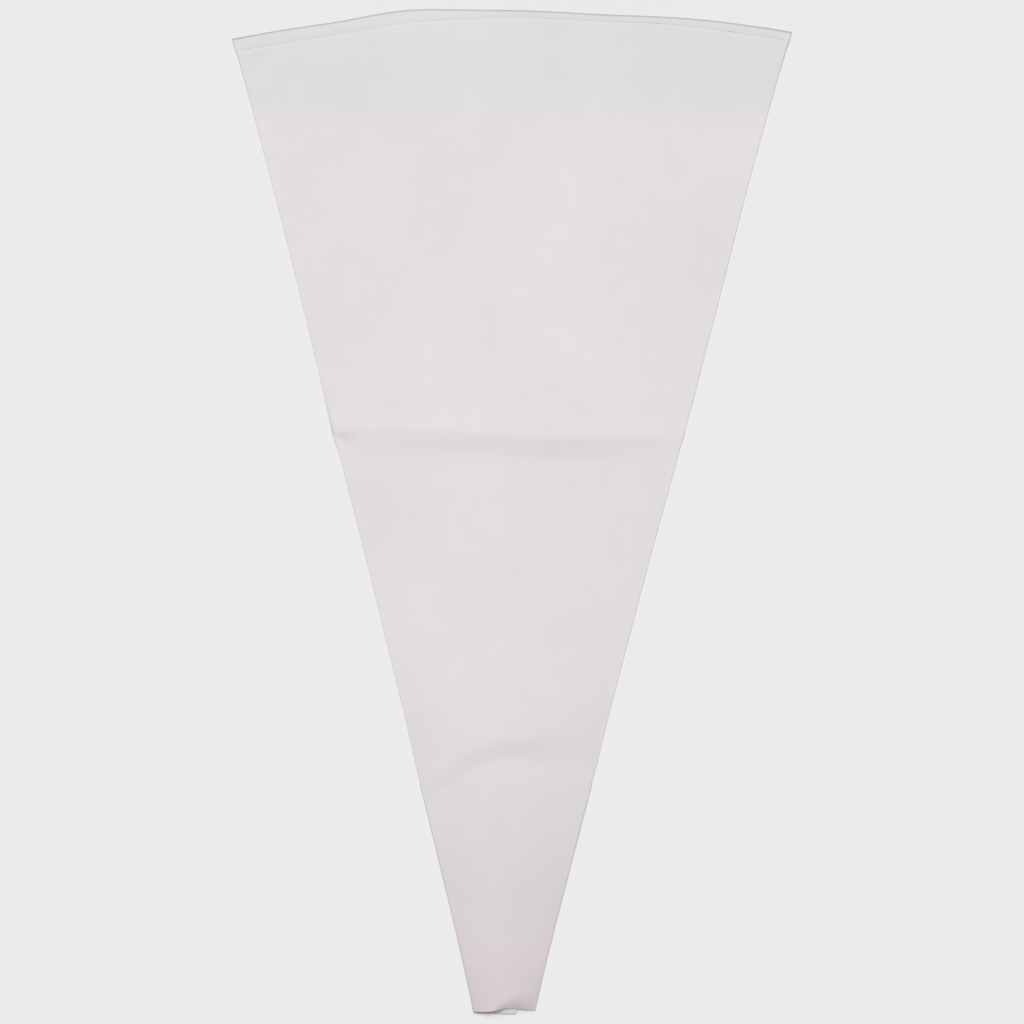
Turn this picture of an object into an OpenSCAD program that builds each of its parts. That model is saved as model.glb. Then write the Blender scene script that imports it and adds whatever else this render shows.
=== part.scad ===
// Cone-shaped piping bag of coated cotton, lying flat on its back.
// The mouth points to +Y, the tip to -Y and the front wall is up.
// Two fold lines cross the bag, so its cloth is made in three sections that turn on each other.
// Places along the bag are given as a distance from the cut edge of the tip.

/* [Outline] */
// Length along the middle, from the tip edge to the crown of the mouth edge
bag_length = 460; // [400:1:520]
// Width across the two corners of the mouth, lying flat
mouth_width = 255; // [220:1:290]
// Width across the cut tip, lying flat
tip_width = 28.5; // [26:0.5:36]
// Rise of the mouth edge between its corners
mouth_rise = 11.5; // [6:0.5:16]
// Inward bow at the middle of each side
side_bow = 1.5; // [0:0.1:3]

/* [Folds] */
// Place of the half fold, where the bag is folded over for storage
half_fold_at = 265; // [240:1:290]
// Place of the tip fold, where the tip is turned up while the bag is filled
tip_fold_at = 92; // [70:1:96]
// Clearance between two sections at a fold line
fold_clearance = 0.4; // [0.3:0.05:0.8]
// Length of the slope that leads up to the ridge of the half fold
ridge_run = 20; // [10:1:40]

/* [Cloth] */
// Thickness of the coated cloth
cloth_thickness = 0.5; // [0.4:0.05:0.6]
// Gap between the walls at the tip
tip_gap = 6.5; // [6:0.1:8]
// Gap between the walls at the edge of the tip sleeve
sleeve_gap = 6.2; // [6:0.1:8]
// Gap between the walls below the half fold
middle_gap = 6.8; // [6:0.1:8]
// Gap between the walls at the ridge of the half fold
ridge_gap = 8.2; // [7:0.1:9]
// Gap between the walls at the mouth
mouth_gap = 9.4; // [9:0.1:11]
// Crowning of the front wall from side to side, where a higher value is flatter in the middle
crown_power = 2.4; // [2:0.1:3]
// Share of the half width at which the front wall comes down to its rim
rim_share = 0.985; // [0.97:0.005:0.99]

/* [Tip sleeve] */
// Length of the sleeve that doubles the cloth at the tip
sleeve_length = 104; // [100:1:130]
// Width of the edge where the front and back of the sleeve meet beside the cloth inside
sleeve_lip = 1; // [0.8:0.1:1.5]
// Length over which the cloth steps up into the sleeve
sleeve_step = 2; // [1.5:0.1:3]

/* [Hem] */
// Depth of the cloth that is turned in along the mouth
hem_depth = 7; // [6:0.5:9]
// Share of the mouth's half width that the turned-in cloth reaches
hem_reach = 0.93; // [0.8:0.01:0.94]
// Distance of the stitches from the mouth edge
stitch_inset = 4.6; // [3:0.1:5]
// Length of one stitch
stitch_length = 2.2; // [1.5:0.1:2.6]
// Distance from one stitch to the next
stitch_pitch = 3; // [3:0.1:5]
// Thickness of the sewing thread
thread_thickness = 0.4; // [0.3:0.05:0.5]

/* [Side seam] */
// Distance of the lapped edge from the side of the bag
seam_inset = 8; // [8:0.5:10]
// Width of the lap
seam_width = 6; // [4:0.5:7]

/* [Hidden] */

cloth_colour = [0.9, 0.88, 0.9];
sleeve_colour = [0.87, 0.84, 0.85];
thread_colour = [0.84, 0.78, 0.74];

corner_at = bag_length - mouth_rise;
hem_at = corner_at - hem_depth;
half_columns = 12;
side_steps = 12;
thread_sides = 16;

// Top of the back wall, which lies on the sleeve where there is one
wall_seat = cloth_thickness;
sleeve_seat = 2 * cloth_thickness;

// Places across the bag, as shares of its half width, closer together near the sides
columns = [for (i = [-half_columns : half_columns]) sin(90 * i / half_columns)];
hem_columns = [for (u = columns) if (abs(u) <= hem_reach) u];

// A row across the bag is its place at the sides and its rise in the middle
fold_step = [fold_clearance / 2, 0];
mouth_row = [corner_at, mouth_rise];
hem_row = [hem_at, mouth_rise];
stitch_row = [corner_at - stitch_inset, mouth_rise];
seam_end_row = [hem_at, 0];
above_half_fold = [half_fold_at, 0] + fold_step;
below_half_fold = [half_fold_at, 0] - fold_step;
ridge_row = [half_fold_at - ridge_run, 0];
single_row = [sleeve_length + 2 * sleeve_step, 0];
step_row = [sleeve_length + sleeve_step, 0];
step_foot_row = [sleeve_length, 0] + fold_step;
sleeve_row = [sleeve_length, 0];
above_tip_fold = [tip_fold_at, 0] + fold_step;
below_tip_fold = [tip_fold_at, 0] - fold_step;
tip_row = [0, 0];

mouth_rows = concat(rows_between(above_half_fold, hem_row, 10), [mouth_row]);
middle_rows = concat(
    [above_tip_fold, sleeve_row, step_row],
    rows_between(single_row, ridge_row, 6),
    [(ridge_row + below_half_fold) / 2, below_half_fold]
);
sleeve_edge_rows = [above_tip_fold, sleeve_row];
tip_rows = rows_between(tip_row, below_tip_fold, 6);

gap_stations = [
    [0, tip_gap],
    [step_row[0], sleeve_gap],
    [single_row[0], sleeve_gap + cloth_thickness],
    [ridge_row[0], middle_gap],
    [half_fold_at, ridge_gap],
    [bag_length, mouth_gap]
];
seat_stations = [[step_row[0], sleeve_seat], [single_row[0], wall_seat]];
inset_stations = [[step_row[0], sleeve_lip], [single_row[0], 0]];

function mix(a, b, share) = a + (b - a) * share;

function rows_between(first, last, steps) = [for (i = [0 : steps]) mix(first, last, i / steps)];

function flatten(lists) = [for (list = lists, item = list) item];

function reversed(list) = [for (i = [len(list) - 1 : -1 : 0]) list[i]];

// Half of the bag's flat width at a distance from the tip
function half_width(along) =
    mix(tip_width, mouth_width, along / corner_at) / 2 - side_bow * sin(180 * along / corner_at);

// Share of the full gap at a place across the bag
function crown(u) = max(0, 1 - pow(abs(u) / rim_share, crown_power));

function along_row(row, u) = row[0] + row[1] * (1 - u * u);

// Point of a row in plan, with the sides drawn in by an inset
function plan_point(row, u, inset = 0) =
    let (along = along_row(row, u))
    [u * (half_width(along) - inset), along - bag_length / 2];

// Point of a row on the crowned front, a number of cloth layers above the inside of the bag
function front_point(row, u, layer) =
    let (along = along_row(row, u), plan = plan_point(row, u, lookup(along, inset_stations)))
    let (crest = lookup(along, gap_stations) * crown(u))
    [plan.x, plan.y, lookup(along, seat_stations) + crest + layer * cloth_thickness];

function front_points(rows, across, layer) =
    [for (row = rows) [for (u = across) front_point(row, u, layer)]];

function halves(quad) = [[quad[0], quad[1], quad[2]], [quad[0], quad[2], quad[3]]];

// Solid between two grids of points that have the same rows and columns
module loft(low, high) {
    rows = len(low);
    width = len(low[0]);
    function at(layer, row, column) = (layer * rows + row) * width + column;
    last_row = rows - 1;
    last_column = width - 1;
    skin = [
        for (r = [0 : last_row - 1], c = [0 : last_column - 1]) each [
            [at(1, r, c), at(1, r + 1, c), at(1, r + 1, c + 1), at(1, r, c + 1)],
            [at(0, r, c), at(0, r, c + 1), at(0, r + 1, c + 1), at(0, r + 1, c)]
        ]
    ];
    sides = [
        for (r = [0 : last_row - 1]) each [
            [at(0, r, 0), at(0, r + 1, 0), at(1, r + 1, 0), at(1, r, 0)],
            [
                at(0, r, last_column), at(1, r, last_column),
                at(1, r + 1, last_column), at(0, r + 1, last_column)
            ]
        ]
    ];
    ends = [
        for (c = [0 : last_column - 1]) each [
            [at(0, 0, c), at(1, 0, c), at(1, 0, c + 1), at(0, 0, c + 1)],
            [
                at(0, last_row, c), at(0, last_row, c + 1),
                at(1, last_row, c + 1), at(1, last_row, c)
            ]
        ]
    ];
    polyhedron(
        points = concat(flatten(low), flatten(high)),
        faces = [for (quad = concat(skin, sides, ends)) each halves(quad)],
        convexity = 6
    );
}

// Crowned layer of cloth that follows the rows, counted up from the inside of the front wall
module crowned_layer(rows, layer = 0, across = columns) {
    loft(front_points(rows, across, layer), front_points(rows, across, layer + 1));
}

// Flat layer of cloth between two rows
module flat_layer(first, last, lift, across = [-1, 1], inset = 0) {
    side_rows = rows_between(first, last, side_steps);
    left = [for (row = side_rows) plan_point(row, across[0], inset)];
    right = [for (row = side_rows) plan_point(row, across[len(across) - 1], inset)];
    inner = [for (i = [1 : 1 : len(across) - 2]) across[i]];
    top = [for (u = inner) plan_point(last, u, inset)];
    bottom = [for (u = inner) if (first[1] > 0) plan_point(first, u, inset)];
    translate([0, 0, lift])
        linear_extrude(cloth_thickness)
            polygon(concat(left, top, reversed(right), reversed(bottom)));
}

// Lap of the side seam, a strip that follows the right-hand side
module seam_strip(first, last, lift) {
    side_rows = rows_between(first, last, side_steps);
    outer = [for (row = side_rows) plan_point(row, 1) - [seam_inset, 0]];
    inner = [for (point = outer) point - [seam_width, 0]];
    translate([0, 0, lift])
        linear_extrude(cloth_thickness)
            polygon(concat(inner, reversed(outer)));
}

// Crowned front of the sleeve, which comes down beside the cloth inside it
module sleeve_front(rows) {
    lip_shares = [0, 0.6];
    function lip_points(row, side, heights) = [
        for (i = [0, 1])
            let (plan = plan_point(row, side, lip_shares[i] * sleeve_lip))
            [plan.x, plan.y, heights[i]]
    ];
    function sleeve_points(layer, heights) = [
        for (row = rows) concat(
            lip_points(row, -1, heights),
            [for (u = columns) front_point(row, u, layer)],
            reversed(lip_points(row, 1, heights))
        )
    ];
    loft(
        sleeve_points(1, [wall_seat, wall_seat]),
        sleeve_points(2, [sleeve_seat, sleeve_seat + cloth_thickness])
    );
}

// One stitch, a length of thread between two points
module stitch(start, end) {
    run = end - start;
    translate(start)
        rotate([0, acos(run.z / norm(run)), atan2(run.y, run.x)])
            cylinder(h = norm(run), d = thread_thickness, $fn = thread_sides);
}

// Row of stitches along the mouth, on the crowned front wall or on the flat back hem
module stitch_line(crowned) {
    reach = hem_reach - 1 / half_columns;
    half_run = reach * half_width(stitch_row[0]);
    count = floor(half_run / stitch_pitch);
    half_stitch = reach * stitch_length / half_run / 2;
    for (i = [-count : count]) {
        middle = reach * i / count;
        front = [for (side = [-1, 1]) front_point(stitch_row, middle + side * half_stitch, 1)];
        ends = crowned ? front : [for (point = front) [point.x, point.y, sleeve_seat]];
        stitch(ends[0], ends[1]);
    }
}

module mouth_front_wall() {
    color(cloth_colour) crowned_layer(mouth_rows);
}

module mouth_back_wall() {
    color(cloth_colour) flat_layer(above_half_fold, mouth_row, 0, columns);
}

module front_hem() {
    color(cloth_colour) crowned_layer([hem_row, mouth_row], -1, hem_columns);
}

module back_hem() {
    color(cloth_colour) flat_layer(hem_row, mouth_row, wall_seat, hem_columns);
}

module front_hem_thread() {
    color(thread_colour) stitch_line(true);
}

module back_hem_thread() {
    color(thread_colour) stitch_line(false);
}

module mouth_side_seam() {
    color(cloth_colour) seam_strip(above_half_fold, seam_end_row, wall_seat);
}

module middle_front_wall() {
    color(cloth_colour) crowned_layer(middle_rows);
}

// The back wall steps up onto the sleeve's back
module middle_back_wall() {
    color(cloth_colour) {
        flat_layer(step_foot_row, below_half_fold, 0);
        flat_layer(above_tip_fold, step_row, wall_seat, inset = sleeve_lip);
    }
}

module middle_side_seam() {
    color(cloth_colour) {
        seam_strip(step_row, below_half_fold, wall_seat);
        seam_strip(above_tip_fold, single_row, sleeve_seat);
    }
}

module sleeve_edge_front() {
    color(sleeve_colour) sleeve_front(sleeve_edge_rows);
}

module sleeve_edge_back() {
    color(sleeve_colour) flat_layer(above_tip_fold, sleeve_row, 0);
}

module tip_front_wall() {
    color(cloth_colour) crowned_layer(tip_rows);
}

module tip_back_wall() {
    color(cloth_colour) flat_layer(tip_row, below_tip_fold, wall_seat, inset = sleeve_lip);
}

module tip_sleeve_front() {
    color(sleeve_colour) sleeve_front(tip_rows);
}

module tip_sleeve_back() {
    color(sleeve_colour) flat_layer(tip_row, below_tip_fold, 0);
}

module tip_side_seam() {
    color(cloth_colour) seam_strip(tip_row, below_tip_fold, sleeve_seat);
}

mouth_front_wall();
mouth_back_wall();
front_hem();
back_hem();
front_hem_thread();
back_hem_thread();
mouth_side_seam();
middle_front_wall();
middle_back_wall();
middle_side_seam();
sleeve_edge_front();
sleeve_edge_back();
tip_front_wall();
tip_back_wall();
tip_sleeve_front();
tip_sleeve_back();
tip_side_seam();
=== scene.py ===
"""Coated cotton piping bag, laid flat on its back, built over its CAD frame with a plain stage."""
import math
from functools import partial

import bmesh
import bpy
from bpy.props import FloatProperty, FloatVectorProperty, PointerProperty
from mathutils import Matrix, Vector, noise


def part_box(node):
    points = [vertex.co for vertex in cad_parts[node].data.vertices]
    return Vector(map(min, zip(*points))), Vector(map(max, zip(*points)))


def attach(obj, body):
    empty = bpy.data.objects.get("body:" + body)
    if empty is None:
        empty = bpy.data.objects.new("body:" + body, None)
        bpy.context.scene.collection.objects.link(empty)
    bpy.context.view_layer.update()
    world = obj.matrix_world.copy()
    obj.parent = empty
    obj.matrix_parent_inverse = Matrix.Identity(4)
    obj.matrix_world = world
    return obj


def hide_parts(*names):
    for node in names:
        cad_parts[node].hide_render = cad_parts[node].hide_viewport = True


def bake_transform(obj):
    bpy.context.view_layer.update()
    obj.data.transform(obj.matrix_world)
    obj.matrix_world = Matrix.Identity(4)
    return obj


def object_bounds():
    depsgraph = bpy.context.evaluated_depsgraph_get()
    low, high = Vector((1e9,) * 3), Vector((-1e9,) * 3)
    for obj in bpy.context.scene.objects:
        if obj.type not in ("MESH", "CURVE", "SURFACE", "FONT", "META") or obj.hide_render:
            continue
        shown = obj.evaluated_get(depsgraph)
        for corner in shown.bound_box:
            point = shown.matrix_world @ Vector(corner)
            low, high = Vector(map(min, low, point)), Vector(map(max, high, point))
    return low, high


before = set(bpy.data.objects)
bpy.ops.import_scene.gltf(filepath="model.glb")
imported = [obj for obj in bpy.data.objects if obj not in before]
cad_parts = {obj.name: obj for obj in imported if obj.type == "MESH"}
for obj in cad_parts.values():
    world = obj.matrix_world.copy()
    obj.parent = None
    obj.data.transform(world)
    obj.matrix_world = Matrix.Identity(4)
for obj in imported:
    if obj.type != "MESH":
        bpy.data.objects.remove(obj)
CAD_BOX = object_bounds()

bl_info = {
    "name": "Piping bag",
    "version": (1, 0, 0),
    "blender": (4, 5, 0),
    "location": "3D View > Sidebar > Piping bag",
    "description": "Builds a coated cotton piping bag, laid flat, over its CAD frame",
    "category": "Object",
}

TIP_END = CAD_BOX[0].y
CAD_WIDTH = CAD_BOX[1].x - CAD_BOX[0].x
SLEEVE_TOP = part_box("sleeve_edge_front")[1].y

# Zones of a wrapped sheet in order round the bag, each with its number of mesh columns.
BAG_ZONES = (("back", 56), ("left_turn", 8), ("front", 92), ("right_turn", 8), ("lap", 6))
TIP_ZONES = (("back", 34), ("left_turn", 8), ("front", 52), ("right_turn", 8), ("lap", 10))

# Mesh rows, as the distance from the tip where each stretch ends and its number of rows.
BAG_ROW_START = 0.1020
LOWER_ROW_STOPS = ((0.126, 20), (0.236, 36))
UPPER_ROW_STOPS = ((0.300, 14), (0.436, 40))
TIP_ROW_STOPS = ((0.010, 14), (0.078, 32))
TIP_ROWS_TO_EDGE = 26
HEM_EDGE_ROWS = 32
HEM_TURN_ROWS = 6
HEM_INSIDE_ROWS = 6

# The same for the rows next to the half fold's crease, as the distance from the crease.
CREASE_ROW_STOPS = ((-0.0100, 10), (0.0, 16), (0.0070, 8))

# How far from the crease the rows follow it, and the stretch along where they take on the mouth's arch.
CREASE_ROW_SPREAD = 0.040
MOUTH_ROW_STRETCH = (0.290, 0.430)

# Sides of the bag: flatness of their bow, and where along the bow, flare, hollow and tucks lie.
BOW_POWER = 6
BOW_STRETCH = (0.100, 0.140)
FLARE_STRETCH = (0.340, 0.450)
HOLLOW_AT = 0.375
HOLLOW_SPREAD = 0.035
RIGHT_TUCK_SPREAD = 0.014
LEFT_TUCK_SPREAD = 0.011
LEFT_TUCK_BELOW = 0.010

# Front wall: power of its rise, where its crown changes, in sleeve lengths, and power of its slack.
SWELL_POWER = 0.8
CROWN_STRETCH = (0.7, 1.6)
SLACK_POWER = 4

# Arched wrinkle: share of its bend on the right, where that sets in, and the width over which it widens.
ARC_RIGHT_BEND = 0.12
ARC_RIGHT_STRETCH = (-0.004, 0.004)
ARC_EASE_RUN = 0.030

# Crease: reach of its kink, and how much rounder the rolled sides are next to it.
KINK_REACH = 0.0025
CREASE_ROLL = 0.4
CREASE_ROLL_SPREAD = 0.006

# Pinched end of the crease: the part that stands up, its fall, its return, and its place across.
PINCH_STAND = 0.5
PINCH_REACH = 0.020
PINCH_FALL = 0.0066
PINCH_RETURN = 0.5
PINCH_RETURN_STRETCH = (0.007, 0.020)
PINCH_AT = -0.0768
PINCH_SPREAD = 0.0054

# Where the bag cloth comes out of the sleeve, from its edge, and the run of the back's step onto the lap.
TUCK_STRETCH = (0.001, 0.013)
LAP_RAMP = 0.003

# Hem: radius of its side rolls, in radii of its turned edge, and the length over which its ends flare.
HEM_ROLL = 2.05
HEM_FLARE_RUN = 0.001

# Cut end of the tip: stretch and dent across the front, from 0 to 1, and how far along the trims reach.
TRIM_STRETCH = (0.45, 0.75)
DENT_AT = 0.53
DENT_SPREAD = 0.19
TRIM_REACH = 0.012

# How much shorter the lining is than the sleeve at the front of the tip, and its gap to the bag cloth.
LINING_SHORT = 0.0003
LINING_GAP = 0.0004

# Pressed part of the tip: its length at its left end and share of roundness, depth and raised upper end.
PRESS_LEFT = 0.08
PRESS_ROUND = 0.62
PRESS_DEPTH = 0.94
PRESS_STAND = 0.25

# Painted shade along the mouth's fold edge, as a share of the darkest, and its reach along.
MOUTH_PAINTED_SHADE = 0.72
MOUTH_PAINTED_SHADE_REACH = 0.0004

# Painted shade at the cut end of the pressed part, as a share of the darkest, its reach along, and where it
# sets in across.
PRESS_PAINTED_SHADE = 0.23
PRESS_PAINTED_SHADE_REACH = 0.0045
PRESS_PAINTED_SHADE_STRETCH = (0.0027, 0.0055)

# Painted shadow on the back's cut end, under the front: its reach along, and the share by which it fades
# across between two places.
BACK_PAINTED_SHADOW_REACH = 0.004
BACK_PAINTED_SHADOW_FADES = ((0.6, -0.006, 0.002), (0.4, 0.005, 0.009))

# Swellings of the mouth's edge: height, place across from -1 to 1, and spread.
MOUTH_SWELLINGS = ((0.0020, -0.38, 0.20), (-0.0006, -0.58, 0.18), (-0.0014, 0.32, 0.25))

# Slack ripples in the cloth: height, length across and length along.
RIPPLES = ((0.00026, 0.052, 0.070), (0.00010, 0.021, 0.026))
RIPPLE_PLACE = Vector((3.7, 11.3, 5.1))

# Stitch line: stretches across the mouth, from -1 to 1, where its inset changes.
LEFT_INSET_STRETCH = (-0.42, 0.06)
RIGHT_INSET_STRETCH = (0.50, 0.78)

# Stitches: share of the thickness by which they are sunk past half of it, and their sides and rings.
STITCH_SINK = 0.05
STITCH_SIDES = 8
STITCH_RINGS = 6

# Soiled stitches: their places across, and how far the soil spreads.
SOILED_PLACES = (0.0655, 0.0999)
SOIL_SPREAD = 0.0032

# Weave: rise and dip of a thread in its own heights, its roundness, top of its painted shade between threads
# and its slubs' scale.
WEAVE_RISE = 0.6
THREAD_ROUND = 0.5
SHADE_TOP = 0.8
SLUB_SCALE = 420.0
BAG_WEAVE = {"pitch": 0.00046, "bump": 0.20, "slub": 0.35, "shade": 0.05}
SLEEVE_WEAVE = {"pitch": 0.00052, "bump": 0.24, "slub": 0.40, "shade": 0.05}

# Soft patches: fineness, detail and share of each layer, and the range of their sum that is used.
MOTTLE_LAYERS = ((1.0, 2.0, 0.65), (4.5, 3.0, 0.35))
MOTTLE_RANGE = (0.3, 0.7)

# Finishes, as the value where their patches, fibres, strands or painted shade are least and where they are
# most.
CLOTH_PATCHES = (0.975, 1.010)
CLOTH_ROUGHNESS = (0.72, 0.60)
COATING_PATCHES = (0.96, 1.0)
COATING_ROUGHNESS = (0.42, 0.30)
EDGE_FIBRES = (0.80, 1.08)
EDGE_ROUGHNESS = (0.95, 0.80)
THREAD_STRANDS = (0.94, 1.03)
THREAD_ROUGHNESS = (0.75, 0.60)
FLOOR_PATCHES = (0.995, 1.0)
PAINTED_SHADE_RANGE = (1.0, 0.50)

# Where the cloth's colours change: past the sleeve, at the crease, short of the mouth, where painted shade
# darkens it, and in the sleeve.
COLLAR_FADE = 0.06
CREASE_FADE = 0.03
MOUTH_FADE_START = 0.07
MOUTH_FADE_END = 0.03
TIP_TONE_START = -0.002
MID_TONE_SHARE = 0.45

# Stage: the floor's reach and its drop under the bag, the key's direction and distance, the camera's sensor.
FLOOR_REACH = 8.0
FLOOR_DROP = 0.0001
KEY_TOWARD = Vector((-0.05, 0.42, 1.0)).normalized()
KEY_DISTANCE = 4.0
SENSOR_WIDTH = 36.0

# Names of the UV maps and attributes that the pieces carry for their materials.
WEAVE_MAP = "flat_cut"
LAID_MAP = "laid"
# Attribute of painted shade along the mouth's fold and the tip's cut ends.
PAINTED_SHADE_ATTRIBUTE = "fold_wear"
SOIL = "soil"


def paint(red, green, blue):
    """Linear colour of a paint chip given from 0 to 255."""
    chips = [value / 255 for value in (red, green, blue)]
    return [((chip + 0.055) / 1.055) ** 2.4 for chip in chips]


def number(name, description, default, **kind):
    """A number that a user may change; kind says what it measures."""
    return FloatProperty(name=name, description=description, default=default, **kind)


# Lengths in metres, shares from 0 to 1, and angles in radians.
size = partial(number, unit="LENGTH", subtype="DISTANCE", precision=5)
share = partial(number, subtype="FACTOR", min=0.0, max=1.0)
turned = partial(number, unit="ROTATION", subtype="ANGLE")


def colour(name, description, chip):
    """A colour that a user may change."""
    return FloatVectorProperty(
        name=name,
        description=description,
        default=paint(*chip),
        subtype="COLOR",
        min=0.0,
        max=1.0,
    )


class BagShape(bpy.types.PropertyGroup):
    """Outline, swell and creases of the laid bag."""

    tip_width: size("Tip width", "Width of the open tip end", 0.0284)
    mouth_width: size("Mouth width", "Width between the corners of the mouth", CAD_WIDTH)
    side_run: size("Side run", "Length from the tip to the corners of the mouth", 0.4473)
    lower_bow: size("Lower bow", "How far the sides draw in below the half fold", 0.00175)
    upper_bow: size("Upper bow", "How far the sides draw in above the half fold", 0.0010)
    sleeve_bow: share("Sleeve bow", "Share of the lower bow that the sleeve's sides have", 0.66)
    left_flare: size("Left flare", "How far the left side stands out at the mouth", 0.0014)
    left_tuck: size("Left tuck", "How far the left side draws in below the half fold", 0.0004)
    right_tuck: size("Right tuck", "How far the right side draws in at the half fold", 0.0008)
    right_hollow: size("Right hollow", "How far the right side draws in above it", 0.0005)
    mouth_rise: size("Mouth rise", "How far the mouth arches between its corners", 0.0110)
    mouth_lean: size("Mouth lean", "How much the right end of the mouth reaches further", 0.00265)
    back_peek: size("Back peek", "How far the back edge shows past the front edge", 0.00025)
    crease_at: size("Crease place", "Distance of the half fold's crease from the tip", 0.2643)
    crease_drop: size("Crease drop", "How far it lies higher on the left and lower on the right", 0.0020)
    crease_middle: size("Crease middle", "Place across where the crease changes over", -0.0095)
    crease_run: size("Crease run", "Width over which the crease changes over", 0.0195)
    pinch: size("Crease pinch", "Depth of the pinched fall at the left end of the crease", 0.0012)
    press_start: size("Press start", "Place across where the tip begins to be pressed down", -0.0058)
    press_full: size("Press full", "Place across from where the tip is pressed down fully", 0.0015)
    press_run: size("Press run", "Width over which the pressed part reaches its full length", 0.0180)
    press_reach: size("Press reach", "Length of the pressed part of the tip", 0.0094)
    tip_swell: size("Tip swell", "Rise of the front wall at the tip", 0.0020)
    sleeve_swell: size("Sleeve swell", "Rise of the front wall at the sleeve's edge", 0.0027)
    upper_swell: size("Upper swell", "Further rise from the sleeve's edge to the mouth", 0.0022)
    ridge: size("Crease ridge", "Rise of the front wall at the crease", 0.0017)
    ridge_kink: size("Ridge kink", "Part of the ridge that breaks off sharply", 0.00035)
    ridge_fall: size("Ridge fall", "Length over which the ridge falls away below", 0.0140)
    mouth_swell: size("Mouth swell", "Further rise of the front wall at the mouth", 0.0011)
    crown_power: number("Crown power", "How flat the top of the crown is", 2.1)
    tip_crown: number("Tip crown", "How flat the top of the crown is in the sleeve", 2.5)
    rim_share: share("Rim share", "Share of the half width that swells", 0.985)
    arc_at: size("Wrinkle place", "Distance of the arched wrinkle from the tip", 0.1203)
    arc_shift: size("Wrinkle shift", "How far the wrinkle's top lies to the right", 0.004)
    arc_bend: number("Wrinkle bend", "How strongly the wrinkle arches, per metre", 13.5)
    arc_step: size("Wrinkle step", "How far the cloth steps down at the wrinkle", 0.0014)
    arc_width: size("Wrinkle width", "Length over which the cloth steps down", 0.0115)
    arc_ease: share("Wrinkle ease", "How much the wrinkle widens on the right", 0.8)


class BagCloth(bpy.types.PropertyGroup):
    """Thickness, seam and hem of the cloth."""

    thickness: size("Cloth thickness", "Thickness of the coated cloth", 0.00026)
    turn: size("Side turn", "Outer radius of the rolled sides", 0.00030)
    lap_step: size("Lap step", "Height of one layer of cloth over the other in the seam", 0.00032)
    lap_start: size("Lap start", "Distance of the seam's inner cut edge from the right side", 0.0082)
    lap_end: size("Lap end", "Distance of the seam's outer cut edge from the right side", 0.0140)
    hem_depth: size("Hem depth", "Width of the hem turned into the mouth", 0.0070)
    hem_turn: size("Hem turn", "Radius of the hem's turned edge", 0.00031)
    hem_ease: size("Hem ease", "Length over which the hem's bulk eases out", 0.0320)
    hem_flare: size("Hem flare", "How far the hem's left end stands out", 0.0003)


class BagSleeve(bpy.types.PropertyGroup):
    """Sizes of the sleeve round the tip and the lining in it."""

    length: size("Sleeve length", "Distance of the sleeve's edge from the tip", SLEEVE_TOP - TIP_END)
    thickness: size("Sleeve thickness", "Thickness of the sleeve's cloth", 0.00026)
    step: size("Sleeve step", "Distance from the sleeve's face to the cloth in it", 0.00031)
    seam_gap: size("Seam gap", "Gap between the sleeve's edges at its seam", 0.0002)
    front_trim: size("Front trim", "How far the front's cut edge stops short of the tip line", -0.0002)
    dent_trim: size("Dent trim", "How much the front's cut edge draws back at the dent", 0.0015)
    right_trim: size("Right trim", "How far the right part's cut edge stops short of the tip line", 0.0009)
    back_trim: size("Back trim", "How far the back's cut edge passes the tip line", 0.0008)
    lining_trim: size("Lining trim", "How far the lining's back passes the tip line", 0.0011)


class BagStitch(bpy.types.PropertyGroup):
    """Sizes of the hem's stitches."""

    left_inset: size("Left inset", "Distance of the stitch line from the edge on the left", 0.0056)
    middle_inset: size("Middle inset", "Distance of the stitch line from the edge in the middle", 0.0031)
    right_inset: size("Right inset", "Distance of the stitch line from the edge on the right", 0.0040)
    pitch: size("Stitch pitch", "Distance from stitch to stitch", 0.0030)
    length: size("Stitch length", "Length of one stitch", 0.0029)
    thickness: size("Thread thickness", "Thickness of the thread", 0.00030)
    margin: size("Stitch margin", "Distance of the last stitch from the side", 0.0040)
    groove: size("Stitch groove", "How far the stitches draw the front in", 0.00014)
    groove_width: size("Groove width", "Distance over which the drawn-in cloth levels out", 0.0010)
    back_groove: size("Back groove", "How far the stitches draw the back in, off the floor", 0.00022)


class BagFinish(bpy.types.PropertyGroup):
    """Colours of the cloth, thread and stage."""

    tip_cloth: colour("Tip cloth", "Sleeve cloth at the tip", (215, 204, 208))
    sleeve_cloth: colour("Sleeve cloth", "Sleeve cloth at its upper edge", (224, 220, 221))
    collar_cloth: colour("Collar cloth", "Coated cloth next to the sleeve", (224, 219, 223))
    lower_cloth: colour("Lower cloth", "Coated cloth below the half fold", (228, 223, 227))
    bag_cloth: colour("Bag cloth", "Coated cloth above the half fold", (230, 225, 229))
    # Darker than the bag cloth: the cloth's own colour with painted shade towards the mouth.
    mouth_cloth: colour("Mouth cloth", "Coated cloth near the mouth", (227, 224, 228))
    coating: colour("Coating", "Smooth coating on the inside", (226, 223, 222))
    raw_edge: colour("Raw edge", "Cut edges of the cloth", (196, 190, 192))
    thread: colour("Thread", "Thread of the hem", (214, 207, 204))
    worn_thread: colour("Worn thread", "Thread where it is soiled", (181, 168, 162))
    floor: colour("Floor", "Plain pale floor", (235, 235, 235))


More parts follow.
